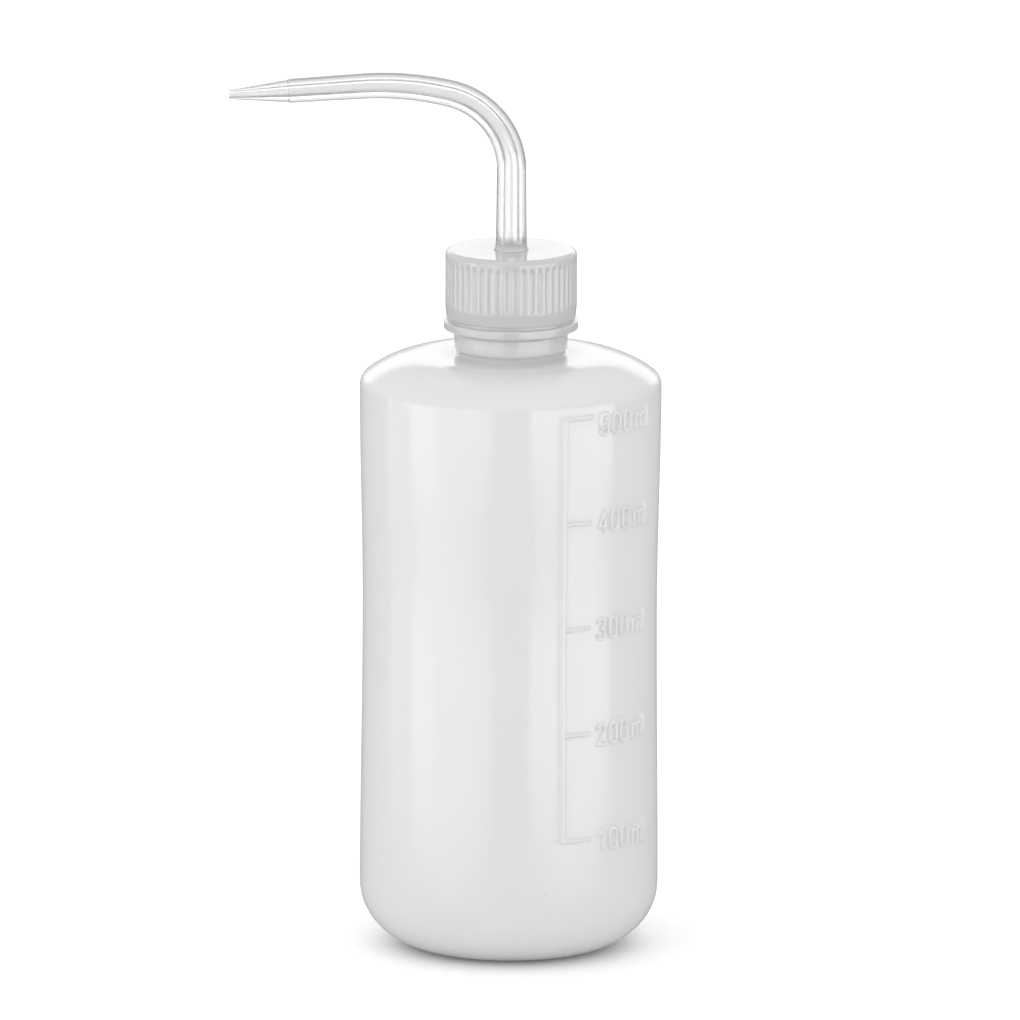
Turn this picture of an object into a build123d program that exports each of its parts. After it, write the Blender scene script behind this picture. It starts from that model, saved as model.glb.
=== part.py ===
from build123d import *
from math import cos, pi, radians, sin
import os

# A 500 ml squeeze wash bottle. Millimetres, +Z up. The origin is the centre of the foot ring, in the
# plane that the bottle stands on. The spout points towards -X and the front of the bottle is -Y.

# Blow-moulded body
body_r = 36.7          # at the shoulder, the widest place
waist_r = 35.85        # the panel between is drawn in a little
heel_r = 36.35         # at the top of the rounded base
heel_z = 15.6          # height of the rounded base
waist_z = 84.0
shoulder_z = 139.2     # end of the side wall
foot_w = 17.3          # how far the rounded base pulls in to the foot ring
ring_w = 3.5           # width of the flat ring that touches the table
push_up = 8.0          # rise of the hollow under the base
round_r = 2.9          # small radius between wall and shoulder
round_turn = 52.5      # degrees of that small radius before the shoulder's dome takes over
dome_r = 25.0          # radius of the shoulder's dome in section
wall = 1.2
floor = 2.8            # the base is the thickest part of the moulding

# Neck, from the shoulder up
root_r = 13.1          # plain throat just above the shoulder
root_fillet = 0.6
root_h = 0.9
collar_r = 13.8
collar_chamfer = 0.7
collar_h = 5.0
thread_root_r = 12.7
neck_h = 21.4
bore_r = 10.9
rim_round = 0.5

# Screw thread, shared by the neck and the cap
pitch = 4.0
turns = 1.6
neck_thread_h = 11.6   # from the shoulder up to the middle of the neck's ridge where it starts
ridge_h = 1.0          # of the neck's ridge
ridge_foot = 2.4
ridge_crest = 1.0
cap_ridge_foot = 2.2
cap_ridge_crest = 1.0
flank_gap = 0.2        # left between the flanks that pull the closure down
crest_gap = 0.45       # between the neck's crest and the inside of the cap
root_gap = 0.35        # between the cap's crest and the neck's plain wall
collar_gap = 0.35      # between the collar and the inside of the cap
ridge_sink = 0.25      # how far a ridge reaches into the wall that carries it

# Sealing washer, spout and screw cap, stacked on the rim of the neck
washer_over = 0.3      # the washer stands out past the rim, and in past the bore
washer_lip = 1.3
washer_t = 1.2
flange_in = 0.2        # the flange is this much smaller than the rim
flange_t = 1.6
cap_h = 20.4
cap_wall = 1.85        # at the grip
cap_plate = 1.6
cap_edge = 1.2         # rounding of the top edge
bead_out = 0.3         # ring round the open end, standing out past the grip
bead_h = 1.9
bead_chamfer = 1.1
groove_deep = 0.55
groove_h = 0.8
band_h = 3.5           # plain band between the groove and the grip
band_draft = 0.25      # it narrows this much towards the groove
top_band_h = 2.3       # plain band above the grip
flute_count = 48
flute_r = 0.9
flute_depth = 0.35
journal_gap = 0.08     # running clearance of the spout in the cap

# Spout: a tube that narrows all the way, up from the cap and over to the left
journal_r = 4.05
stub_r = 4.3
stub_h = 12.0
socket_depth = 10.0
flare_h = 2.0
tube_r = 3.75          # outside radius where it leaves the cap
tube_end_r = 2.93      # outside radius where the drawn tip begins
tube_bore_r = 1.55
tube_end_bore_r = 1.1
rise = 19.55           # straight run above the cap
bend_r = 19.4
bend_turn = 76.8
ease_r = 72.0
ease_turn = 17.3
run = 17.4             # straight run to the drawn tip
tip_l = 14.85
tip_step = 0.15
tip_r = 1.05
tip_bore_r = 0.6

# Dip tube
dip_r = 2.5
dip_bore_r = 1.5
dip_slip = 0.02
dip_floor_gap = 2.1    # between the cut end and the floor
dip_cut = 45.0         # degrees

# Raised scale, read from the front right
scale_turn = 22.2      # degrees from the front to the scale's upright line
scale_line_w = 0.9
tick_span = 11.5       # degrees
tick_w = 0.75
scale_raise = 0.28
scale_sink = 0.4
litres_per_mark = 0.1
marks = 5
dead_height = 6.3      # wall height that the base's thickness, hollow and rounding take up

# Worked out from the sizes above
dome_x = body_r - round_r - (dome_r - round_r) * cos(radians(round_turn))
dome_z = shoulder_z - (dome_r - round_r) * sin(radians(round_turn))
top_z = dome_z + dome_r
rim_z = top_z + neck_h
collar_z = top_z + root_h + collar_chamfer
washer_top_z = rim_z + washer_t
flange_top_z = washer_top_z + flange_t
cap_top_z = flange_top_z + cap_plate
cap_bottom_z = cap_top_z - cap_h
stub_low_z = washer_top_z - stub_h
socket_top_z = stub_low_z + socket_depth
skirt_r = max(thread_root_r + ridge_h + crest_gap, collar_r + collar_gap)
cap_r = skirt_r + cap_wall
bead_r = cap_r + bead_out
groove_r = cap_r - groove_deep
mean_r = (heel_r + 4 * waist_r + body_r) / 6
mark_step = litres_per_mark * 1e6 / (pi * (mean_r - wall) ** 2)
mark_zs = [dead_height + mark_step * (i + 1) for i in range(marks)]
mark_zs = [z for z in mark_zs if z < shoulder_z]


def turned(outline):
    """Solid of revolution round +Z of a closed outline drawn as (radius, height)."""
    return revolve(Plane.XZ * make_face(outline), Axis.Z)


def round_bar(radius, bottom, top):
    """Upright cylinder on the axis, between two heights."""
    return Pos(0, 0, (bottom + top) / 2) * Cylinder(radius, top - bottom)


def upright_cone(low_r, high_r, bottom, top):
    """Upright cone on the axis, between two heights."""
    return Pos(0, 0, (bottom + top) / 2) * Cone(low_r, high_r, top - bottom)


def body_solid(skin, base):
    """The body up to its shoulder, taken in by skin at the wall and by base at the floor."""
    ring_x = heel_r - foot_w
    round_x = body_r - round_r
    hollow = TangentArc((0, push_up + base), (ring_x - ring_w, base), tangent=(1, 0))
    foot = Line(hollow @ 1, (ring_x, base))
    heel = EllipticalCenterArc((ring_x, heel_z), foot_w - skin, heel_z - base, -90, arc_size=90)
    waist = (waist_r - skin, waist_z)
    side = Spline(heel @ 1, waist, (body_r - skin, shoulder_z), tangents=[(0, 1), (0, 1)])
    corner = CenterArc((round_x, shoulder_z), round_r - skin, 0, round_turn)
    dome = CenterArc((dome_x, dome_z), dome_r - skin, round_turn, 90 - round_turn)
    lid = Line(dome @ 1, (0, top_z - skin))
    axis = Line(lid @ 1, hollow @ 0)
    return turned(hollow + foot + heel + side + corner + dome + lid + axis)


def helical_ridge(start_z, foot_r, foot_w, crest_r, crest_w):
    """Screw thread ridge, a trapezoid in section, winding up round +Z from +X."""
    section = [
        (foot_r, start_z - foot_w / 2),
        (crest_r, start_z - crest_w / 2),
        (crest_r, start_z + crest_w / 2),
        (foot_r, start_z + foot_w / 2),
    ]
    rails = [Edge.make_helix(pitch, pitch * turns, r, center=(0, 0, z)) for r, z in section]
    sides = [Face.make_surface_from_curves(a, b) for a, b in zip(rails, rails[1:] + rails[:1])]
    ends = [Face(Wire.make_polygon([rail @ t for rail in rails], close=True)) for t in (0, 1)]
    return Solid(Shell(sides + ends))


def neck():
    """Throat, collar and threaded finish, still without their bore."""
    low = top_z - wall
    fillet_x = root_r + root_fillet
    start = Polyline((0, low), (fillet_x, low), (fillet_x, top_z))
    fillet_arc = CenterArc((fillet_x, top_z + root_fillet), root_fillet, 270, -90)
    outline = Polyline(
        fillet_arc @ 1,
        (root_r, collar_z - collar_chamfer),
        (collar_r, collar_z),
        (collar_r, collar_z + collar_h),
        (thread_root_r, collar_z + collar_h + collar_chamfer),
        (thread_root_r, rim_z - rim_round),
        (thread_root_r - rim_round, rim_z),
        (0, rim_z),
        (0, low),
    )
    return turned(start + fillet_arc + outline)


def scale_marks():
    """Upright line and one tick for each mark, following the wall's own curve."""
    skin = body_solid(-scale_raise, 0) - body_solid(scale_sink, 0)
    reach = 2 * body_r
    in_place = (Align.NONE, Align.NONE, Align.CENTER)
    line_low = mark_zs[0] - tick_w / 2
    line_high = mark_zs[-1] + tick_w / 2
    line = Pos(reach / 2, 0, (line_low + line_high) / 2) * Box(reach, scale_line_w, line_high - line_low)
    cutters = Rot(0, 0, scale_turn - 90) * line
    for z in mark_zs:
        tick = Pos(0, 0, z) * Cylinder(reach, tick_w, arc_size=tick_span, align=in_place)
        cutters += Rot(0, 0, scale_turn - 90) * tick
    return skin & cutters


def bottle():
    """Body and neck in one moulding, with the thread and the scale raised on it."""
    start_z = top_z + neck_thread_h
    crest_r = thread_root_r + ridge_h
    thread = helical_ridge(start_z, thread_root_r - ridge_sink, ridge_foot, crest_r, ridge_crest)
    bore = round_bar(bore_r, top_z - 2 * wall, rim_z + wall)
    solid = body_solid(0, 0) + neck() + thread + scale_marks()
    return solid - body_solid(wall, floor) - bore


def cap_thread():
    """The cap's ridge, held under the neck's by the small gap between their flanks."""
    foot_r = skirt_r + ridge_sink
    crest_r = thread_root_r + root_gap
    shared = thread_root_r + ridge_h - crest_r
    neck_slope = (ridge_foot - ridge_crest) / 2 / (ridge_h + ridge_sink)
    cap_slope = (cap_ridge_foot - cap_ridge_crest) / 2 / (foot_r - crest_r)
    drop = (ridge_crest + cap_ridge_crest) / 2 + shared * max(neck_slope, cap_slope) + flank_gap
    start_z = top_z + neck_thread_h - drop
    return helical_ridge(start_z, foot_r, cap_ridge_foot, crest_r, cap_ridge_crest)


def screw_cap():
    """Cap with a central hole, fluted grip, bead round the open end and the matching thread."""
    bead_top = cap_bottom_z + bead_chamfer + bead_h
    groove_top = bead_top + groove_h
    rounding = CenterArc((cap_r - cap_edge, cap_top_z - cap_edge), cap_edge, 0, 90)
    shell = Polyline(
        rounding @ 1,
        (0, cap_top_z),
        (0, cap_bottom_z),
        (skirt_r, cap_bottom_z),
        (bead_r, cap_bottom_z + bead_chamfer),
        (bead_r, bead_top),
        (groove_r, bead_top),
        (groove_r, groove_top),
        (cap_r - band_draft, groove_top + band_draft),
        (cap_r, groove_top + band_h - band_draft),
        rounding @ 0,
    )
    solid = turned(rounding + shell)
    solid -= round_bar(skirt_r, cap_bottom_z, flange_top_z)
    solid -= round_bar(journal_r + journal_gap, flange_top_z, cap_top_z)
    flutes = Sketch() + PolarLocations(cap_r + flute_r - flute_depth, flute_count) * Circle(flute_r)
    grip_low = groove_top + band_h
    grip_high = cap_top_z - top_band_h
    solid -= Pos(0, 0, grip_low) * extrude(flutes, grip_high - grip_low)
    return solid + cap_thread()


def spout_path():
    """Centreline of the tube, from the cap's top to where the drawn tip begins."""
    up = Line((0, cap_top_z), (0, cap_top_z + rise))
    bend = JernArc(up @ 1, up % 1, bend_r, bend_turn)
    ease = JernArc(bend @ 1, bend % 1, ease_r, ease_turn)
    straight = Line(ease @ 1, (ease @ 1) + (ease % 1) * run)
    return Plane.XZ * (up + bend + ease + straight)


def narrowing(path, start_r, end_r):
    """Round rod along the path, its radius changing evenly from start to end."""
    first = Plane(path @ 0, z_dir=path % 0) * Circle(start_r)
    last = Plane(path @ 1, z_dir=path % 1) * Circle(end_r)
    return sweep([first, last], path=path, multisection=True)


def tip_cone(path, start_r, end_r):
    """Cone that carries on from the path's end to the end of the drawn tip."""
    return Plane(path @ 1, z_dir=path % 1) * Pos(0, 0, tip_l / 2) * Cone(start_r, end_r, tip_l)


def spout():
    """Bent tube with its flange and stub, in one moulding, bored right through."""
    path = spout_path()
    solid = round_bar(stub_r, stub_low_z, flange_top_z)
    solid += round_bar(thread_root_r - flange_in, washer_top_z, flange_top_z)
    solid += round_bar(journal_r, flange_top_z, cap_top_z)
    solid += upright_cone(journal_r, tube_end_r, cap_top_z, cap_top_z + flare_h)
    solid += narrowing(path, tube_r, tube_end_r)
    solid += tip_cone(path, tube_end_r - tip_step, tip_r)
    solid -= round_bar(dip_r + dip_slip, stub_low_z, socket_top_z)
    solid -= round_bar(tube_bore_r, socket_top_z, cap_top_z)
    solid -= narrowing(path, tube_bore_r, tube_end_bore_r)
    return solid - tip_cone(path, tube_end_bore_r, tip_bore_r)


def sealing_washer():
    """Flat ring between the rim of the neck and the spout's flange."""
    disc = round_bar(thread_root_r + washer_over, rim_z, washer_top_z)
    return disc - round_bar(bore_r - washer_lip, rim_z, washer_top_z)


def dip_tube():
    """Straight tube from the spout's socket down to the floor, its low end cut at a slant."""
    low = push_up + floor + dip_floor_gap
    solid = round_bar(dip_r, low, socket_top_z) - round_bar(dip_bore_r, low, socket_top_z)
    reach = 4 * dip_r
    below = Box(2 * reach, 2 * reach, reach, align=(Align.CENTER, Align.CENTER, Align.MAX))
    return solid - Pos(-dip_r, 0, low) * Rot(0, -dip_cut, 0) * below


os.makedirs("parts", exist_ok=True)
nodes = {
    "bottle": bottle,
    "screw_cap": screw_cap,
    "spout": spout,
    "sealing_washer": sealing_washer,
    "dip_tube": dip_tube,
}
for name, make in nodes.items():
    export_step(make(), f"parts/{name}.step")
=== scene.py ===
import math

import bpy
import numpy as np
from mathutils import Matrix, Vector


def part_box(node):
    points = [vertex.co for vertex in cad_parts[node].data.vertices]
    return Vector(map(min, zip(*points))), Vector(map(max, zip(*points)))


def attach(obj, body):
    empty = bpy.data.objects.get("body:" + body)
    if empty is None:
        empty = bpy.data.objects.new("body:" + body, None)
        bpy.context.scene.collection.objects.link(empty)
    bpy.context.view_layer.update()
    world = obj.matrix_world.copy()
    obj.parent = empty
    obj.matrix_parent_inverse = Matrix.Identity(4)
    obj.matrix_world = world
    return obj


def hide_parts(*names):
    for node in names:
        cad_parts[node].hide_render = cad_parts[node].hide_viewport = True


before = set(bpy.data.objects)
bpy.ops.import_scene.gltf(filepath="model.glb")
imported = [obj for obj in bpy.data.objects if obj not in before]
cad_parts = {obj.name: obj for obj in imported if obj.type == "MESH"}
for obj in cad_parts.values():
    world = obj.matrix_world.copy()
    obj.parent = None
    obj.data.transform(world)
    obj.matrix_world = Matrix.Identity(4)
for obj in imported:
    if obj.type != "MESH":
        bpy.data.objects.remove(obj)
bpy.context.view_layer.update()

# Laboratory wash bottle. Sizes are millimetres until a mesh is written, which is in metres.
# Angles are degrees round +Z from the front, -Y, towards +X.
MM = 0.001


def mm_box(node):
    """The lowest and highest corners of a CAD node in millimetres."""
    low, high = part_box(node)
    return np.array(low) / MM, np.array(high) / MM


bottle_high = mm_box("bottle")[1]
cap_low, cap_high = mm_box("screw_cap")
spout_low = mm_box("spout")[0]
washer_low, washer_high = mm_box("sealing_washer")
dip_low, dip_high = mm_box("dip_tube")

# Body
BODY_R = bottle_high[0]
HEEL_R = BODY_R - 0.35
WAIST_R = BODY_R - 0.85
HEEL_Z = 15.6
WAIST_Z = 84.0
SHOULDER_Z = 139.2
FOOT_W = 17.3
RING_W = 3.5
PUSH_UP = 8.0
ROUND_R = 2.9
ROUND_TURN = 52.5
DOME_R = 25.0
WALL = 1.2
FLOOR = 2.8
DOME_X = BODY_R - ROUND_R - (DOME_R - ROUND_R) * math.cos(math.radians(ROUND_TURN))
DOME_Z = SHOULDER_Z - (DOME_R - ROUND_R) * math.sin(math.radians(ROUND_TURN))
TOP_Z = DOME_Z + DOME_R
RIM_Z = bottle_high[2]

# Neck and thread, outside and in the cap
ROOT_R = 13.1
COLLAR_R = 13.8
COLLAR_Z = TOP_Z + 1.6
COLLAR_H = 5.0
NECK_R = 12.7
BORE_R = 10.9
PITCH = 4.0
TURNS = 1.6
THREAD_Z = TOP_Z + 11.6
THREAD_H = 1.0
THREAD_CREST = 1.0
THREAD_FOOT = 2.4
THREAD_FADE = 0.12     # of a turn, at each end
CAP_THREAD_DROP = 1.56
CAP_THREAD_H = 1.1
CAP_THREAD_FOOT = 2.2

# Cap
BEAD_OUT = 0.3
CAP_WALL = 1.85
CAP_PLATE = 1.6
GROOVE_DEEP = 0.55
JOURNAL_HOLE_R = 4.13

# Raised scale. It is measured round a wall of SCALE_R.
SCALE_R = 36.0
SCALE_RAISE = 0.7
SCALE_SOFT = 0.13      # half the width of the slope at its edges
LINE_W = 0.85
TICK_W = 0.7
LINE_AT = 21.3
TICK_END = 32.3
TEXT_AT = 35.6
FIRST_MARK = 32.47
MARK_STEP = 26.17
MARKS = ["100ml", "200ml", "300ml", "400ml", "500ml"]
MARK_ZS = [FIRST_MARK + MARK_STEP * i for i in range(len(MARKS))]
TEXT_DROP = {"500ml": 2.1, "400ml": 0.0}
USUAL_DROP = 0.5
DIGIT_H = 4.9
DIGIT_W = 2.25
DIGIT_GAP = 0.65
GAP_BEFORE = {"m": 0.75, "l": 0.6}
STROKE = 0.8

# Mould parting line over the shoulder
SEAM_AT = -45.0
SEAM_RAISE = 0.1
SEAM_W = 0.22

# Spout
STUB_R = 4.3
SOCKET_R = 2.52
JOURNAL_R = 4.05
TUBE_R = 3.75
TUBE_END_R = 2.93
TUBE_BORE_R = 1.55
TUBE_END_BORE_R = 1.1
RISE = 19.55
BEND_R = 19.4
BEND_TURN = 76.8
EASE_R = 72.0
EASE_TURN = 17.3
RUN = 17.4
TIP_L = 14.85
TIP_R = 1.05
TIP_BORE_R = 0.6
TUBE_L = RISE + math.radians(BEND_TURN) * BEND_R + math.radians(EASE_TURN) * EASE_R + RUN


# ---------------------------------------------------------------- outlines

def arc(centre, radii, start, end, count):
    """Points on an ellipse's arc, in degrees from the radial direction."""
    angles = np.radians(np.linspace(start, end, count))
    return [(centre[0] + radii[0] * math.cos(a), centre[1] + radii[1] * math.sin(a)) for a in angles]


def rounded(corners, count=6):
    """Polygon of (radius, height, rounding), with each corner that has a rounding made an arc."""
    points = []
    total = len(corners)
    for i, (x, z, radius) in enumerate(corners):
        here = np.array([x, z])
        if radius == 0 or i in (0, total - 1):
            points.append((x, z))
            continue
        before = np.array(corners[i - 1][:2]) - here
        after = np.array(corners[i + 1][:2]) - here
        before_l, after_l = np.linalg.norm(before), np.linalg.norm(after)
        before, after = before / before_l, after / after_l
        half = math.acos(np.clip(before @ after, -1, 1)) / 2
        reach = min(radius / math.tan(half), 0.49 * before_l, 0.49 * after_l)
        start, end = here + before * reach, here + after * reach
        middle = here + (before + after) / np.linalg.norm(before + after) * reach / math.cos(half)
        size = reach * math.tan(half)
        low = math.atan2(*(start - middle)[::-1])
        turn = (math.atan2(*(end - middle)[::-1]) - low + math.pi) % (2 * math.pi) - math.pi
        for t in np.linspace(0, 1, count):
            points.append((middle[0] + size * math.cos(low + t * turn), middle[1] + size * math.sin(low + t * turn)))
    return points


def divided(points, step):
    """The same outline with its long runs split, so that no run is longer than step(radius, height)."""
    result = [points[0]]
    for a, b in zip(points, points[1:]):
        length = math.dist(a, b)
        limit = step((a[0] + b[0]) / 2, (a[1] + b[1]) / 2)
        parts = max(1, math.ceil(length / limit))
        for i in range(1, parts + 1):
            result.append((a[0] + (b[0] - a[0]) * i / parts, a[1] + (b[1] - a[1]) * i / parts))
    return result


def smooth(t):
    """Rises gently from 0 to 1 as t does."""
    t = np.clip(t, 0, 1)
    return t * t * (3 - 2 * t)


def wall_radius(z):
    """Outside radius of the body's wall, which draws in a little at its waist."""
    lower = HEEL_R + (WAIST_R - HEEL_R) * smooth((z - HEEL_Z) / (WAIST_Z - HEEL_Z))
    upper = (BODY_R - WAIST_R) * smooth((z - WAIST_Z) / (SHOULDER_Z - WAIST_Z))
    return lower + upper


# ---------------------------------------------------------------- meshes

def mesh_object(name, points, faces):
    """A smooth-shaded object at the origin, from points in millimetres."""
    mesh = bpy.data.meshes.new(name)
    mesh.from_pydata((np.asarray(points) * MM).tolist(), [], faces)
    mesh.shade_smooth()
    mesh.update()
    obj = bpy.data.objects.new(name, mesh)
    bpy.context.scene.collection.objects.link(obj)
    return obj


def lathe(name, outline, angles, bulge=None, loop=False):
    """Spins an outline round the axis. bulge(angles, radii, heights) moves points outwards. A loop closes on
    itself, and an open outline starts and ends on the axis, where a fan of triangles closes it."""
    radii, heights = np.array(outline if loop else outline[1:-1]).T
    turn, radius = np.meshgrid(angles, radii)
    height = np.meshgrid(angles, heights)[1]
    if bulge is not None:
        radius = radius + bulge(turn, radius, height)
    a = np.radians(turn)
    points = np.stack([radius * np.sin(a), -radius * np.cos(a), height], axis=-1).reshape(-1, 3)
    here = np.arange(turn.size).reshape(turn.shape)
    if loop:
        here = np.vstack([here, here[:1]])
    beside = np.roll(here, -1, axis=1)
    faces = np.stack([here[:-1], beside[:-1], beside[1:], here[1:]], axis=-1).reshape(-1, 4).tolist()
    if not loop:
        first, last = len(points), len(points) + 1
        points = np.vstack([points, [0, 0, outline[0][1]], [0, 0, outline[-1][1]]])
        faces += [(first, k, j) for j, k in zip(here[0].tolist(), beside[0].tolist())]
        faces += [(j, k, last) for j, k in zip(here[-1].tolist(), beside[-1].tolist())]
    return mesh_object(name, points, faces)


def thread_ridge(turn, height, start, depth, crest, foot):
    """How far a screw thread stands out of its wall: a rounded trapezoid that starts at +X, runs up to the
    right and fades at both ends."""
    result = np.zeros_like(turn)
    base = (turn - 90.0) / 360.0
    for wind in range(-1, 4):
        along = base + wind
        away = np.abs(height - start - PITCH * along)
        flank = smooth(1 - (away - crest / 2) / ((foot - crest) / 2))
        ends = smooth(along / THREAD_FADE) * smooth((TURNS - along) / THREAD_FADE)
        result = np.maximum(result, depth * flank * ends)
    return result


# ---------------------------------------------------------------- numerals of the scale

def bow(x, z, radius, start, end, count=14, squash=1.0):
    """Arc of a glyph, in degrees anticlockwise from its right."""
    return [(x + radius * math.cos(math.radians(a)), z + radius * squash * math.sin(math.radians(a)))
            for a in np.linspace(start, end, count)]


def glyph(letter):
    """Centrelines of one raised character, with its foot at 0, and its width."""
    w, h = DIGIT_W, DIGIT_H
    r, arch = w / 2, 0.95
    shapes = {
        "0": [bow(r, h - r * 1.25, r, 0, 180, squash=1.25) + bow(r, r * 1.25, r, 180, 360, squash=1.25)
              + [(w, h - r * 1.25)]],
        "1": [[(w * 0.62, 0), (w * 0.62, h), (w * 0.5, h - 0.45), (w * 0.08, h - 1.15)]],
        "2": [bow(r, h - r, r, 165, -25) + [(0, 0), (w, 0)]],
        "3": [bow(r * 0.92, h - r * 0.95, r * 0.95, 150, -75), bow(r * 0.95, r * 1.12, r * 1.12, 90, -155)],
        "4": [[(w * 0.72, 0), (w * 0.72, h), (0, h * 0.27), (w * 1.08, h * 0.27)]],
        "5": [[(w * 0.95, h), (w * 0.12, h), (0, h * 0.5)] + bow(r, r * 1.25, r * 1.05, 125, -160, squash=1.2)],
        "m": [[(0, 0), (0, 2.3 + arch)]] + [bow(x, 2.3, arch, 180, 0) + [(x + arch, 0)] for x in (arch, 3 * arch)],
        "l": [[(0, 0), (0, h)]],
    }
    widths = {"m": 4 * arch, "l": 0.0}
    return shapes[letter], widths.get(letter, w)


def scale_strokes():
    """Every raised line of the scale as a list of (distance round the wall, height) points, with its width."""
    def along(degrees):
        return math.radians(degrees) * SCALE_R

    strokes = [([(along(LINE_AT), MARK_ZS[0]), (along(LINE_AT), MARK_ZS[-1])], LINE_W)]
    for text, z in zip(MARKS, MARK_ZS):
        strokes.append(([(along(LINE_AT), z), (along(TICK_END), z)], TICK_W))
        x = along(TEXT_AT) + STROKE / 2
        foot = z - TEXT_DROP.get(text, USUAL_DROP) - DIGIT_H / 2
        for letter in text:
            lines, width = glyph(letter)
            x += GAP_BEFORE.get(letter, 0.0)
            strokes += [([(x + px, foot + pz) for px, pz in line], STROKE) for line in lines]
            x += width + STROKE + (0.0 if letter in GAP_BEFORE else DIGIT_GAP)
    return strokes


def scale_height(turn, height):
    """How far the scale stands out of the wall."""
    u, z = np.radians(turn) * SCALE_R, height
    result = np.zeros_like(u)
    for line, width in scale_strokes():
        xs, zs = np.array(line).T
        near = (u > xs.min() - 1) & (u < xs.max() + 1) & (z > zs.min() - 1) & (z < zs.max() + 1)
        if not near.any():
            continue
        here = np.stack([u[near], z[near]], axis=-1)
        gap = np.full(len(here), np.inf)
        for a, b in zip(np.array(line[:-1]), np.array(line[1:])):
            along = b - a
            t = np.clip((here - a) @ along / max(along @ along, 1e-9), 0, 1)
            gap = np.minimum(gap, np.linalg.norm(here - a - t[:, None] * along, axis=1))
        raised = SCALE_RAISE * smooth((width / 2 + SCALE_SOFT - gap) / (2 * SCALE_SOFT))
        result[near] = np.maximum(result[near], raised)
    return result


# ---------------------------------------------------------------- bottle

def body_outline(skin, base, wall_heights):
    """The body from the middle of its hollow base up to its shoulder's flat top."""
    ring_x = HEEL_R - FOOT_W
    ring_in = ring_x - RING_W
    hollow_r = (ring_in ** 2 + PUSH_UP ** 2) / (2 * PUSH_UP)
    reach = 90 - math.degrees(math.asin(ring_in / hollow_r))
    points = arc((0, PUSH_UP + base - hollow_r), (hollow_r, hollow_r), 90, reach, 9)
    points = [(0, points[0][1])] + points[1:-1]
    points += rounded([(*points[-1], 0), (ring_in, base, 1.2), (ring_in + 2, base, 0)])[1:]
    points += arc((ring_x, HEEL_Z), (FOOT_W - skin, HEEL_Z - base), -90, 0, 17)[:-1]
    points += [(wall_radius(z) - skin, z) for z in wall_heights]
    points += arc((BODY_R - ROUND_R, SHOULDER_Z), (ROUND_R - skin,) * 2, 0, ROUND_TURN, 9)[1:]
    points += arc((DOME_X, DOME_Z), (DOME_R - skin,) * 2, ROUND_TURN, 90, 14)[1:]
    return points


def wall_rows():
    """Heights of the wall's rings: close together behind each line of numerals and its tick, and wide apart
    elsewhere."""
    plain = np.linspace(HEEL_Z, SHOULDER_Z, 36)
    rows = []
    for text, z in zip(MARKS, MARK_ZS):
        low = z - TEXT_DROP.get(text, USUAL_DROP) - DIGIT_H / 2 - 0.75
        high = max(z + 0.75, low + DIGIT_H + 1.75)
        plain = plain[(plain < low - 0.3) | (plain > high + 0.3)]
        rows.append(np.arange(low, high, 0.18))
    return np.sort(np.concatenate([plain, *rows]))


def wall_columns():
    """Angles of the bottle's columns, close together at the scale and at the parting line."""
    plain = np.arange(68.0, 380.0, 4.5)
    line = np.arange(20.6, 23.2, 0.25)
    tick = [*np.arange(24, 31, 2), *np.arange(31.6, 33.6, 0.28)]
    text = [*np.arange(35.1, 64.6, 0.28), 66.0]
    seams = [SEAM_AT + side + off for side in (0, 180) for off in (-0.9, -0.4, -0.2, 0, 0.2, 0.4, 0.9)]
    return np.unique(np.round(np.concatenate([plain, line, tick, text, seams]) % 360, 3))


def neck_outline():
    """The neck from the shoulder up its outside, over the rim and down its bore, fine enough for the thread."""
    corners = [
        (DOME_X, TOP_Z, 0),
        (ROOT_R, TOP_Z, 0.7),
        (ROOT_R, COLLAR_Z - 0.7, 0.25),
        (COLLAR_R, COLLAR_Z, 0.3),
        (COLLAR_R, COLLAR_Z + COLLAR_H, 0.3),
        (NECK_R, COLLAR_Z + COLLAR_H + 0.7, 0.3),
        (NECK_R, RIM_Z, 0.5),
        (BORE_R, RIM_Z, 0.4),
        (BORE_R, TOP_Z - WALL, 1.2),
        (DOME_X, TOP_Z - WALL, 0),
    ]

    def step(radius, height):
        in_thread = radius > NECK_R - 0.1 and COLLAR_Z + COLLAR_H + 0.6 < height < RIM_Z
        return 0.3 if in_thread else 3.0

    return divided(rounded(corners), step)


def bottle():
    """Body and neck in one skin, outside and in, with the scale, the parting line and the thread raised on it."""
    outer = body_outline(0, 0, wall_rows())
    inner = body_outline(WALL, FLOOR, np.linspace(HEEL_Z, SHOULDER_Z, 18))[::-1]

    def bulge(turn, radius, height):
        result = np.zeros_like(turn)
        wall = slice(0, len(outer) - 1)
        result[wall] = scale_height(turn[wall], height[wall])
        off = np.abs((turn[wall] - SEAM_AT + 90) % 180 - 90)
        seam = np.exp(-((np.radians(off) * radius[wall] / SEAM_W) ** 2))
        result[wall] += SEAM_RAISE * seam * smooth((height[wall] - SHOULDER_Z + 3) / 3)
        shank = (np.abs(radius - NECK_R) < 0.05) & (height > COLLAR_Z + COLLAR_H)
        ridge = thread_ridge(turn, height, THREAD_Z, THREAD_H, THREAD_CREST, THREAD_FOOT)
        return np.where(shank, ridge, result)

    return lathe("bottle_shell", outer + neck_outline()[1:] + inner[1:], wall_columns(), bulge)


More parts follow.
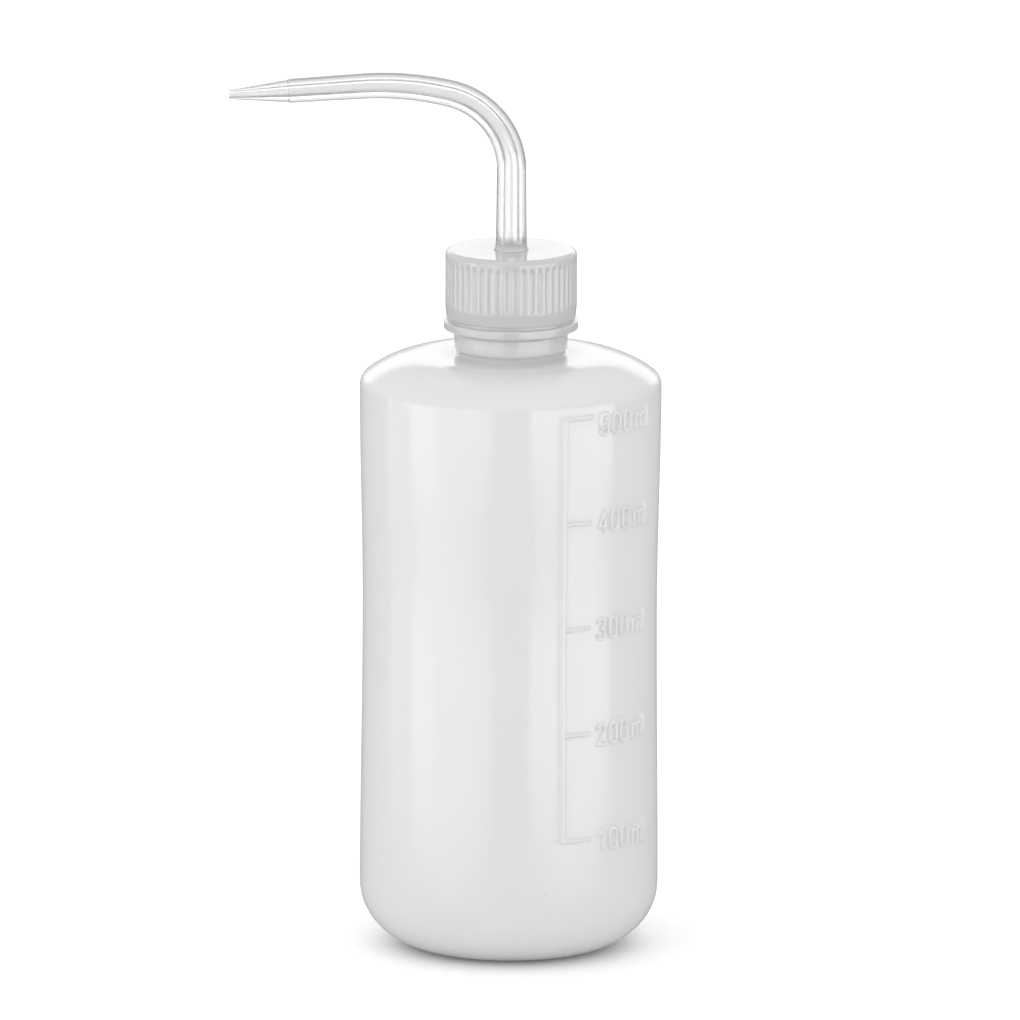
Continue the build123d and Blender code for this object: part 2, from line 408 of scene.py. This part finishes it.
def cap_shell():
    """The cap before its grip is fluted: bead, groove, plain bands, top, and the thread inside."""
    low, high = cap_low[2], cap_high[2]
    bead_r = cap_high[0]
    grip_r = bead_r - BEAD_OUT
    skirt_r = grip_r - CAP_WALL
    groove_r = grip_r - GROOVE_DEEP
    bead_z = low + 1.1
    groove_z = bead_z + 1.9
    corners = [
        (skirt_r, low + 0.4, 0),
        (skirt_r, low, 0.25),
        (bead_r, bead_z, 0.3),
        (bead_r, groove_z, 0.35),
        (groove_r, groove_z, 0.2),
        (groove_r, groove_z + 0.8, 0.3),
        (grip_r - 0.25, groove_z + 1.1, 0.3),
        (grip_r, groove_z + 4.0, 0.5),
        (grip_r, high, 1.2),
        (JOURNAL_HOLE_R, high, 0.25),
        (JOURNAL_HOLE_R, high - CAP_PLATE, 0.1),
        (skirt_r, high - CAP_PLATE, 0.5),
        (skirt_r, low + 0.8, 0),
    ]

    def step(radius, height):
        return 0.4 if abs(radius - skirt_r) < 0.1 else 0.8

    outline = divided(rounded(corners, 7), step)

    def bulge(turn, radius, height):
        inside = (np.abs(radius - skirt_r) < 0.01) & (height < high - 2.2)
        ridge = thread_ridge(turn, height, THREAD_Z - CAP_THREAD_DROP, CAP_THREAD_H, THREAD_CREST, CAP_THREAD_FOOT)
        return np.where(inside, -ridge, 0)

    return lathe("cap_shell", outline, np.arange(0, 360, 0.75), bulge, loop=True)


def straight_spout():
    """The spout as if its tube were straight: socketed stub, flange, journal, narrowing tube and drawn tip."""
    low, flange_low, flange_high, top = spout_low[2], washer_high[2], cap_high[2] - CAP_PLATE, cap_high[2]
    end, tip = top + TUBE_L, top + TUBE_L + TIP_L
    socket_top = dip_high[2]
    corners = [
        (SOCKET_R, low + 1, 0),
        (SOCKET_R, low, 0.3),
        (STUB_R, low, 0.5),
        (STUB_R, flange_low, 0.4),
        (NECK_R - 0.2, flange_low, 0.3),
        (NECK_R - 0.2, flange_high, 0.3),
        (JOURNAL_R, flange_high, 0.05),
        (JOURNAL_R, top + 0.2, 1.2),
        (TUBE_R, top + 2.2, 6.0),
        (TUBE_END_R, end, 0.12),
        (TUBE_END_R - 0.15, end + 0.15, 0.12),
        (TIP_R, tip, 0.12),
        (TIP_BORE_R, tip, 0.1),
        (TUBE_END_BORE_R, end, 0),
        (TUBE_BORE_R, top, 0),
        (TUBE_BORE_R, socket_top, 0.2),
        (SOCKET_R, socket_top, 0.1),
        (SOCKET_R, low + 1.2, 0),
    ]
    outline = divided(rounded(corners), lambda radius, height: 0.6)
    return lathe("spout_tube", outline, np.arange(0, 360, 3.75), loop=True)


def spout_route():
    """Centreline of the spout's tube above the cap, as a poly curve: up, a tight bend, a long easy bend and a
    straight run."""
    points = []
    x, z, heading = 0.0, cap_high[2], 0.0
    legs = [(RISE, 0.0), (math.radians(BEND_TURN) * BEND_R, math.radians(BEND_TURN)),
            (math.radians(EASE_TURN) * EASE_R, math.radians(EASE_TURN)), (RUN + TIP_L + 1, 0.0)]
    for length, turn in legs:
        steps = max(1, round(length / 0.5)) if turn else 1
        for _ in range(steps):
            points.append((x, 0, z))
            middle = heading + turn / steps / 2
            x -= math.sin(middle) * length / steps
            z += math.cos(middle) * length / steps
            heading += turn / steps
    points.append((x, 0, z))
    data = bpy.data.curves.new("spout_route", "CURVE")
    data.dimensions = "3D"
    spline = data.splines.new("POLY")
    spline.points.add(len(points) - 1)
    for point, place in zip(spline.points, points):
        point.co = (place[0] * MM, 0, place[2] * MM, 1)
    route = bpy.data.objects.new("spout_route", data)
    bpy.context.scene.collection.objects.link(route)
    return route


def washer():
    """Soft flat ring with rounded rims."""
    inner = BORE_R - 1.3
    outer, low, high = washer_high[0], washer_low[2], washer_high[2]
    middle = (inner + outer) / 2
    corners = [(middle, low, 0), (outer, low, 0.35), (outer, high, 0.35), (inner, high, 0.35), (inner, low, 0.35),
               (middle - 0.1, low, 0)]
    return lathe("washer_ring", divided(rounded(corners), lambda r, z: 1.5), np.arange(0, 360, 5.0), loop=True)


def dip_pipe():
    """Straight tube with its low end cut at a slant, by a shear of its lowest stretch."""
    outer, low, high = dip_high[0], dip_low[2], dip_high[2]
    inner, sheared = outer - 1.0, 8.0
    middle = (outer + inner) / 2
    corners = [(middle, low, 0), (outer, low, 0.15), (outer, low + sheared, 0), (outer, high, 0.15),
               (inner, high, 0.15), (inner, low + sheared, 0), (inner, low, 0.15), (middle - 0.05, low, 0)]
    outline = divided(rounded(corners), lambda r, z: 2.0 if z < low + sheared else 8.0)
    tube = lathe("dip_pipe", outline, np.arange(0, 360, 7.5), loop=True)
    for vertex in tube.data.vertices:
        share = max(0.0, 1 - (vertex.co.z / MM - low) / sheared)
        vertex.co.z += share * (vertex.co.x + outer * MM)
    return tube


# ---------------------------------------------------------------- node trees

def add(tree, kind, inputs=None, **settings):
    """Adds a node, with its settings, and each input set to a value or linked to a socket."""
    node = tree.nodes.new(kind)
    for key, value in settings.items():
        setattr(node, key, value)
    for key, value in (inputs or {}).items():
        if isinstance(value, bpy.types.NodeSocket):
            tree.links.new(value, node.inputs[key])
        else:
            node.inputs[key].default_value = value
    return node


def tree_with(name, inputs):
    """A geometry node tree that takes a mesh and these named inputs."""
    tree = bpy.data.node_groups.new(name, "GeometryNodeTree")
    tree.interface.new_socket("Geometry", in_out="INPUT", socket_type="NodeSocketGeometry")
    for label, kind in inputs.items():
        tree.interface.new_socket(label, in_out="INPUT", socket_type=kind)
    tree.interface.new_socket("Geometry", in_out="OUTPUT", socket_type="NodeSocketGeometry")
    return tree, tree.nodes.new("NodeGroupInput")


def finish_tree(tree, geometry, material):
    """Realize, set the material and give the result out."""
    real = add(tree, "GeometryNodeRealizeInstances", {"Geometry": geometry})
    painted = add(tree, "GeometryNodeSetMaterial", {"Geometry": real.outputs[0], "Material": material})
    add(tree, "NodeGroupOutput", {"Geometry": painted.outputs[0]})


def shaped_by(obj, tree, values):
    """Runs the tree on the object and keeps the result as a plain mesh."""
    modifier = obj.modifiers.new(tree.name, "NODES")
    modifier.node_group = tree
    names = {item.name: item.identifier for item in tree.interface.items_tree if item.in_out == "INPUT"}
    for label, value in values.items():
        modifier[names[label]] = value
    bpy.context.view_layer.update()
    ready = obj.evaluated_get(bpy.context.evaluated_depsgraph_get())
    mesh = bpy.data.meshes.new_from_object(ready)
    obj.modifiers.remove(modifier)
    obj.data = mesh
    mesh.name = obj.name
    return obj


def flute_tree():
    """Vertical flutes cut into the outside of a round grip: shallow hollows between narrow ribs, fading at both
    ends."""
    length = "NodeSocketFloat"
    tree, given = tree_with("fluted_grip", {"Flutes": "NodeSocketInt", "Depth": length, "Flute Share": length,
                                            "Grip Radius": length, "Low": length, "High": length,
                                            "Run Out": length, "Material": "NodeSocketMaterial"})
    sizes = given.outputs
    place = add(tree, "ShaderNodeSeparateXYZ", {0: add(tree, "GeometryNodeInputPosition").outputs[0]})
    x, y, z = place.outputs
    angle = add(tree, "ShaderNodeMath", {0: y, 1: x}, operation="ARCTAN2").outputs[0]
    turns = add(tree, "ShaderNodeMath", {0: angle, 1: 2 * math.pi}, operation="DIVIDE").outputs[0]
    count = add(tree, "ShaderNodeMath", {0: turns, 1: sizes["Flutes"]}, operation="MULTIPLY").outputs[0]
    part = add(tree, "ShaderNodeMath", {0: count}, operation="FRACT").outputs[0]
    centred = add(tree, "ShaderNodeMath", {0: part, 1: 0.5}, operation="SUBTRACT").outputs[0]
    across = add(tree, "ShaderNodeMath", {0: centred, 1: sizes["Flute Share"]}, operation="DIVIDE").outputs[0]
    doubled = add(tree, "ShaderNodeMath", {0: across, 1: 2.0}, operation="MULTIPLY").outputs[0]
    square = add(tree, "ShaderNodeMath", {0: doubled, 1: doubled}, operation="MULTIPLY").outputs[0]
    hollow = add(tree, "ShaderNodeMath", {0: 1.0, 1: square}, operation="SUBTRACT", use_clamp=True).outputs[0]
    radius = add(tree, "ShaderNodeVectorMath", {0: add(tree, "ShaderNodeCombineXYZ", {0: x, 1: y}).outputs[0]},
                 operation="LENGTH").outputs["Value"]
    low_end = add(tree, "ShaderNodeMath", {0: sizes["Low"], 1: sizes["Run Out"]}, operation="ADD").outputs[0]
    high_start = add(tree, "ShaderNodeMath", {0: sizes["High"], 1: sizes["Run Out"]}, operation="SUBTRACT").outputs[0]
    rising = add(tree, "ShaderNodeMapRange", {0: z, 1: sizes["Low"], 2: low_end},
                 interpolation_type="SMOOTHSTEP").outputs[0]
    falling = add(tree, "ShaderNodeMapRange", {0: z, 1: high_start, 2: sizes["High"], 3: 1.0, 4: 0.0},
                  interpolation_type="SMOOTHSTEP").outputs[0]
    band = add(tree, "ShaderNodeMath", {0: rising, 1: falling}, operation="MULTIPLY").outputs[0]
    cut = add(tree, "ShaderNodeMath", {0: hollow, 1: band}, operation="MULTIPLY").outputs[0]
    depth = add(tree, "ShaderNodeMath", {0: cut, 1: sizes["Depth"]}, operation="MULTIPLY").outputs[0]
    inward = add(tree, "ShaderNodeMath", {0: depth, 1: radius}, operation="DIVIDE").outputs[0]
    back = add(tree, "ShaderNodeMath", {0: inward, 1: -1.0}, operation="MULTIPLY").outputs[0]
    flat = add(tree, "ShaderNodeCombineXYZ", {0: x, 1: y}).outputs[0]
    offset = add(tree, "ShaderNodeVectorMath", {0: flat, "Scale": back}, operation="SCALE").outputs[0]
    outside = add(tree, "FunctionNodeCompare", {0: radius, 1: sizes["Grip Radius"]}, operation="GREATER_THAN",
                  data_type="FLOAT").outputs[0]
    moved = add(tree, "GeometryNodeSetPosition", {"Geometry": given.outputs["Geometry"], "Selection": outside,
                                                  "Offset": offset})
    finish_tree(tree, moved.outputs[0], sizes["Material"])
    return tree


def bend_tree():
    """Lays the part of a straight tube that is above a height along a route, keeping its section square to the
    route."""
    tree, given = tree_with("tube_on_route", {"Route": "NodeSocketObject", "Start": "NodeSocketFloat",
                                              "Material": "NodeSocketMaterial"})
    spot = add(tree, "GeometryNodeInputPosition").outputs[0]
    x, y, z = add(tree, "ShaderNodeSeparateXYZ", {0: spot}).outputs
    along = add(tree, "ShaderNodeMath", {0: z, 1: given.outputs["Start"]}, operation="SUBTRACT").outputs[0]
    route = add(tree, "GeometryNodeObjectInfo", {"Object": given.outputs["Route"]})
    sample = add(tree, "GeometryNodeSampleCurve", {"Curves": route.outputs["Geometry"], "Length": along},
                 mode="LENGTH")
    side = (0.0, 1.0, 0.0)
    across = add(tree, "ShaderNodeVectorMath", {0: side, 1: sample.outputs["Tangent"]}, operation="CROSS_PRODUCT")
    by_x = add(tree, "ShaderNodeVectorMath", {0: across.outputs[0], "Scale": x}, operation="SCALE").outputs[0]
    by_y = add(tree, "ShaderNodeVectorMath", {0: side, "Scale": y}, operation="SCALE").outputs[0]
    section = add(tree, "ShaderNodeVectorMath", {0: by_x, 1: by_y}, operation="ADD").outputs[0]
    place = add(tree, "ShaderNodeVectorMath", {0: sample.outputs["Position"], 1: section}, operation="ADD").outputs[0]
    above = add(tree, "FunctionNodeCompare", {0: along, 1: 0.0}, operation="GREATER_THAN",
                data_type="FLOAT").outputs[0]
    moved = add(tree, "GeometryNodeSetPosition", {"Geometry": given.outputs["Geometry"], "Selection": above,
                                                  "Position": place})
    finish_tree(tree, moved.outputs[0], given.outputs["Material"])
    return tree


# ---------------------------------------------------------------- materials

def linear(code, alpha=1.0):
    """An sRGB hex colour as the linear values that a shader takes."""
    values = [int(code[i:i + 2], 16) / 255 for i in (1, 3, 5)]
    return (*[v / 12.92 if v <= 0.04045 else ((v + 0.055) / 1.055) ** 2.4 for v in values], alpha)


def plastic(name):
    """An empty material with its output, and Object coordinates in millimetres."""
    material = bpy.data.materials.new(name)
    material.use_nodes = True
    tree = material.node_tree
    tree.nodes.clear()
    place = add(tree, "ShaderNodeTexCoord").outputs["Object"]
    mm = add(tree, "ShaderNodeMapping", {"Vector": place, "Scale": (1000, 1000, 1000)}).outputs[0]
    return material, tree, mm


def shade(tree, inputs):
    """Principled shader to the output."""
    shader = add(tree, "ShaderNodeBsdfPrincipled", inputs)
    add(tree, "ShaderNodeOutputMaterial", {"Surface": shader.outputs[0]})
    return shader


def blown_ldpe():
    """Natural low-density polyethylene, blow moulded: milky and soft-edged, since light scatters inside the 1.2
    mm wall, with a satin skin, faint flow streaks up the wall and tiny unmelted specks."""
    material, tree, mm = plastic("natural_ldpe_blow_moulded")
    thick = add(tree, "ShaderNodeTexNoise", {"Vector": mm, "Scale": 1 / 26, "Detail": 2.0}).outputs["Fac"]
    speck = add(tree, "ShaderNodeTexVoronoi", {"Vector": mm, "Scale": 1 / 5}, feature="F1").outputs["Distance"]
    dot = add(tree, "ShaderNodeMapRange", {0: speck, 1: 0.03, 2: 0.06, 3: 1.0, 4: 0.0}).outputs[0]
    cloud = add(tree, "ShaderNodeMix", {"Factor": thick, "A": linear("#D4D4D2"), "B": linear("#CFD0D0")},
                data_type="RGBA")
    colour = add(tree, "ShaderNodeMix", {"Factor": dot, "A": cloud.outputs["Result"], "B": linear("#C4C4C2")},
                 data_type="RGBA")
    streak_place = add(tree, "ShaderNodeMapping", {"Vector": mm, "Scale": (1, 1, 0.04)}).outputs[0]
    streaks = add(tree, "ShaderNodeTexNoise", {"Vector": streak_place, "Scale": 1 / 2.5,
                                               "Detail": 3.0}).outputs["Fac"]
    peel = add(tree, "ShaderNodeTexNoise", {"Vector": mm, "Scale": 1 / 1.1, "Detail": 2.0}).outputs["Fac"]
    rough = add(tree, "ShaderNodeMapRange", {0: streaks, 1: 0.3, 2: 0.7, 3: 0.12, 4: 0.16}).outputs[0]
    skin = add(tree, "ShaderNodeMath", {0: peel, 1: dot, 2: 0.6}, operation="MULTIPLY_ADD").outputs[0]
    bump = add(tree, "ShaderNodeBump", {"Height": skin, "Strength": 0.08, "Distance": 0.00003}).outputs[0]
    shade(tree, {"Base Color": colour.outputs["Result"], "Roughness": rough, "IOR": 1.51, "Subsurface Weight": 1.0,
                 "Subsurface Radius": (1.0, 1.0, 1.0), "Subsurface Scale": 0.0001, "Normal": bump})
    return material


def moulded_pp():
    """Natural polypropylene, injection moulded in a polished tool: glossier and clearer than the bottle, and a
    little grey where it is thick."""
    material, tree, mm = plastic("natural_polypropylene_moulded")
    flow = add(tree, "ShaderNodeTexNoise", {"Vector": mm, "Scale": 1 / 7, "Detail": 2.0}).outputs["Fac"]
    colour = add(tree, "ShaderNodeMix", {"Factor": flow, "A": linear("#D9D9D9"), "B": linear("#D3D4D5")},
                 data_type="RGBA").outputs["Result"]
    fine = add(tree, "ShaderNodeTexNoise", {"Vector": mm, "Scale": 1 / 0.8, "Detail": 2.0}).outputs["Fac"]
    rough = add(tree, "ShaderNodeMapRange", {0: fine, 1: 0.3, 2: 0.7, 3: 0.05, 4: 0.09}).outputs[0]
    bump = add(tree, "ShaderNodeBump", {"Height": fine, "Strength": 0.08, "Distance": 0.00003}).outputs[0]
    shade(tree, {"Base Color": colour, "Roughness": rough, "IOR": 1.49, "Subsurface Weight": 1.0,
                 "Subsurface Radius": (1.0, 1.0, 1.0), "Subsurface Scale": 0.001,
                 "Transmission Weight": 0.3, "Normal": bump})
    return material


def drawn_ldpe():
    """Low-density polyethylene tube, moulded, bent and drawn at the tip: thin enough to be clear, with a light
    haze, and milky below the cap's top, where the flange and the stub are thick."""
    material, tree, mm = plastic("clear_ldpe_tube")
    haze = add(tree, "ShaderNodeTexNoise", {"Vector": mm, "Scale": 1 / 4, "Detail": 2.0}).outputs["Fac"]
    colour = add(tree, "ShaderNodeMix", {"Factor": haze, "A": linear("#FDFDFD"), "B": linear("#F9FAFA")},
                 data_type="RGBA").outputs["Result"]
    height = add(tree, "ShaderNodeSeparateXYZ", {0: mm}).outputs["Z"]
    thin = add(tree, "ShaderNodeMapRange", {0: height, 1: cap_high[2] - 0.8, 2: cap_high[2] + 2.6, 3: 0.15, 4: 0.86},
               interpolation_type="SMOOTHSTEP").outputs[0]
    fine = add(tree, "ShaderNodeTexNoise", {"Vector": mm, "Scale": 1 / 1.4, "Detail": 2.0}).outputs["Fac"]
    rough = add(tree, "ShaderNodeMapRange", {0: fine, 1: 0.3, 2: 0.7, 3: 0.07, 4: 0.12}).outputs[0]
    bump = add(tree, "ShaderNodeBump", {"Height": fine, "Strength": 0.02, "Distance": 0.00001}).outputs[0]
    shade(tree, {"Base Color": colour, "Roughness": rough, "IOR": 1.5, "Transmission Weight": thin, "Normal": bump})
    return material


def soft_pe():
    """Foamed polyethylene sheet, stamped: matt, white and finely pitted."""
    material, tree, mm = plastic("foamed_polyethylene_washer")
    pits = add(tree, "ShaderNodeTexNoise", {"Vector": mm, "Scale": 1 / 0.6, "Detail": 2.0}).outputs["Fac"]
    colour = add(tree, "ShaderNodeMix", {"Factor": pits, "A": linear("#F0F0EE"), "B": linear("#E6E6E4")},
                 data_type="RGBA").outputs["Result"]
    bump = add(tree, "ShaderNodeBump", {"Height": pits, "Strength": 0.3, "Distance": 0.0001}).outputs[0]
    shade(tree, {"Base Color": colour, "Roughness": 0.75, "IOR": 1.5, "Normal": bump})
    return material


# ---------------------------------------------------------------- pieces on their bodies

def fit(piece, body, node):
    """Rides on its body and stands for its CAD node, which it hides."""
    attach(piece, body)
    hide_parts(node)


ldpe, polypropylene, clear, foam = blown_ldpe(), moulded_pp(), drawn_ldpe(), soft_pe()

shell = bottle()
shell.data.materials.append(ldpe)
fit(shell, "bottle", "bottle")

cap = shaped_by(cap_shell(), flute_tree(), {
    "Flutes": 48, "Depth": 0.28 * MM, "Flute Share": 0.7, "Grip Radius": (cap_high[0] - 0.6) * MM,
    "Low": (cap_low[2] + 6.9) * MM, "High": (cap_high[2] - 1.9) * MM, "Run Out": 0.9 * MM,
    "Material": polypropylene})
fit(cap, "cap", "screw_cap")

route = spout_route()
tube = shaped_by(straight_spout(), bend_tree(), {"Route": route, "Start": cap_high[2] * MM, "Material": clear})
bpy.data.objects.remove(route)
fit(tube, "spout", "spout")

ring = washer()
ring.data.materials.append(foam)
fit(ring, "washer", "sealing_washer")

pipe = dip_pipe()
pipe.data.materials.append(clear)
fit(pipe, "spout", "dip_tube")


# ---------------------------------------------------------------- studio

def floor():
    """Plain white sweep that the bottle stands on. It isn't seen in reflections or through clear plastic, so
    that the walls mirror the room."""
    size = 8000
    corners = [(-size, -size, 0), (size, -size, 0), (size, size, 0), (-size, size, 0)]
    sheet = mesh_object("floor", corners, [(0, 1, 2, 3)])
    material = bpy.data.materials.new("white_paper_sweep")
    material.use_nodes = True
    shader = material.node_tree.nodes["Principled BSDF"]
    shader.inputs["Base Color"].default_value = linear("#FEFEFE")
    shader.inputs["Roughness"].default_value = 0.9
    shader.inputs["Specular IOR Level"].default_value = 0.2
    sheet.data.materials.append(material)
    sheet.visible_glossy = False
    sheet.visible_transmission = False


def softbox(name, azimuth, elevation, distance, width, height, power):
    """Large soft lamp aimed at the middle of the bottle."""
    data = bpy.data.lights.new(name, "AREA")
    data.shape = "RECTANGLE"
    data.size, data.size_y, data.energy = width, height, power
    lamp = bpy.data.objects.new(name, data)
    a, e = math.radians(azimuth), math.radians(elevation)
    away = np.array([math.sin(a) * math.cos(e), -math.cos(a) * math.cos(e), math.sin(e)])
    lamp.location = away * distance + np.array([0, 0, 0.1])
    lamp.rotation_mode = "XYZ"
    lamp.rotation_euler = (math.radians(90 - elevation), 0, a)
    lamp.visible_camera = False
    bpy.context.scene.collection.objects.link(lamp)


def surroundings():
    """Pale room: bright overhead, fairly bright above the horizon and dim below it. It is white where it is
    looked at, and through clear plastic it is white straight behind and dim to the sides, which draws a clear
    tube's edges."""
    world = bpy.data.worlds.new("studio")
    bpy.context.scene.world = world
    world.use_nodes = True
    tree = world.node_tree
    tree.nodes.clear()
    x, y, z = add(tree, "ShaderNodeSeparateXYZ", {0: add(tree, "ShaderNodeTexCoord").outputs["Object"]}).outputs
    above = add(tree, "ShaderNodeMapRange", {0: z, 1: -0.15, 2: 0.1, 3: 0.44, 4: 0.9},
                interpolation_type="SMOOTHSTEP")
    high = add(tree, "ShaderNodeMapRange", {0: z, 1: 0.2, 2: 0.9, 3: 0.0, 4: 0.5},
               interpolation_type="SMOOTHSTEP")
    rear = add(tree, "ShaderNodeMapRange", {0: y, 1: -0.2, 2: 0.7, 3: 1.0, 4: 0.8},
               interpolation_type="SMOOTHSTEP")
    right = add(tree, "ShaderNodeMapRange", {0: x, 1: 0.3, 2: 0.9, 3: 1.0, 4: 0.7},
                interpolation_type="SMOOTHSTEP")
    sides = add(tree, "ShaderNodeMath", {0: rear.outputs[0], 1: right.outputs[0]}, operation="MULTIPLY").outputs[0]
    light = add(tree, "ShaderNodeMath", {0: above.outputs[0], 1: sides, 2: high.outputs[0]},
                operation="MULTIPLY_ADD")
    room = add(tree, "ShaderNodeBackground", {"Color": linear("#FFFFFF"), "Strength": light.outputs[0]})
    behind = add(tree, "ShaderNodeMapRange", {0: y, 1: 0.44, 2: 0.92, 3: 0.24, 4: 1.06},
                 interpolation_type="SMOOTHSTEP")
    through = add(tree, "ShaderNodeBackground", {"Color": linear("#FFFFFF"), "Strength": behind.outputs[0]})
    seen = add(tree, "ShaderNodeBackground", {"Color": linear("#FFFFFF"), "Strength": 1.0})
    path = add(tree, "ShaderNodeLightPath").outputs
    clear_or_room = add(tree, "ShaderNodeMixShader", {0: path["Is Transmission Ray"], 1: room.outputs[0],
                                                      2: through.outputs[0]})
    mixed = add(tree, "ShaderNodeMixShader", {0: path["Is Camera Ray"], 1: clear_or_room.outputs[0],
                                              2: seen.outputs[0]})
    add(tree, "ShaderNodeOutputWorld", {"Surface": mixed.outputs[0]})


def camera():
    """Long lens a little above the bottle, level with its front."""
    elevation, distance, roll = 11.75, 6.0, 0.24
    seen_width = 0.2483565
    data = bpy.data.cameras.new("camera")
    data.sensor_width = 36.0
    data.lens = data.sensor_width * distance / seen_width
    data.clip_start, data.clip_end = 0.1, 60.0
    view = bpy.data.objects.new("camera", data)
    e = math.radians(elevation)
    target = np.array([-0.00005, 0, 0.1077])
    view.location = target + distance * np.array([0, -math.cos(e), math.sin(e)])
    view.rotation_mode = "XYZ"
    view.rotation_euler = (Matrix.Rotation(math.radians(90 - elevation), 3, "X")
                           @ Matrix.Rotation(math.radians(roll), 3, "Z")).to_euler()
    bpy.context.scene.collection.objects.link(view)
    bpy.context.scene.camera = view


camera()
floor()
surroundings()
SIDE_LAMP_TILT = -5.3
softbox("left_softbox", -47.5, SIDE_LAMP_TILT, 1.5, 2.0, 0.5, 8.4)
softbox("left_fill", -84, SIDE_LAMP_TILT, 1.6, 1.4, 0.5, 2.5)
softbox("right_softbox", 50, SIDE_LAMP_TILT, 1.5, 2.1, 0.5, 11.8)
softbox("back_softbox", 180, 16, 2.2, 2.4, 0.6, 4.8)
bpy.context.scene.view_settings.view_transform = "Standard"
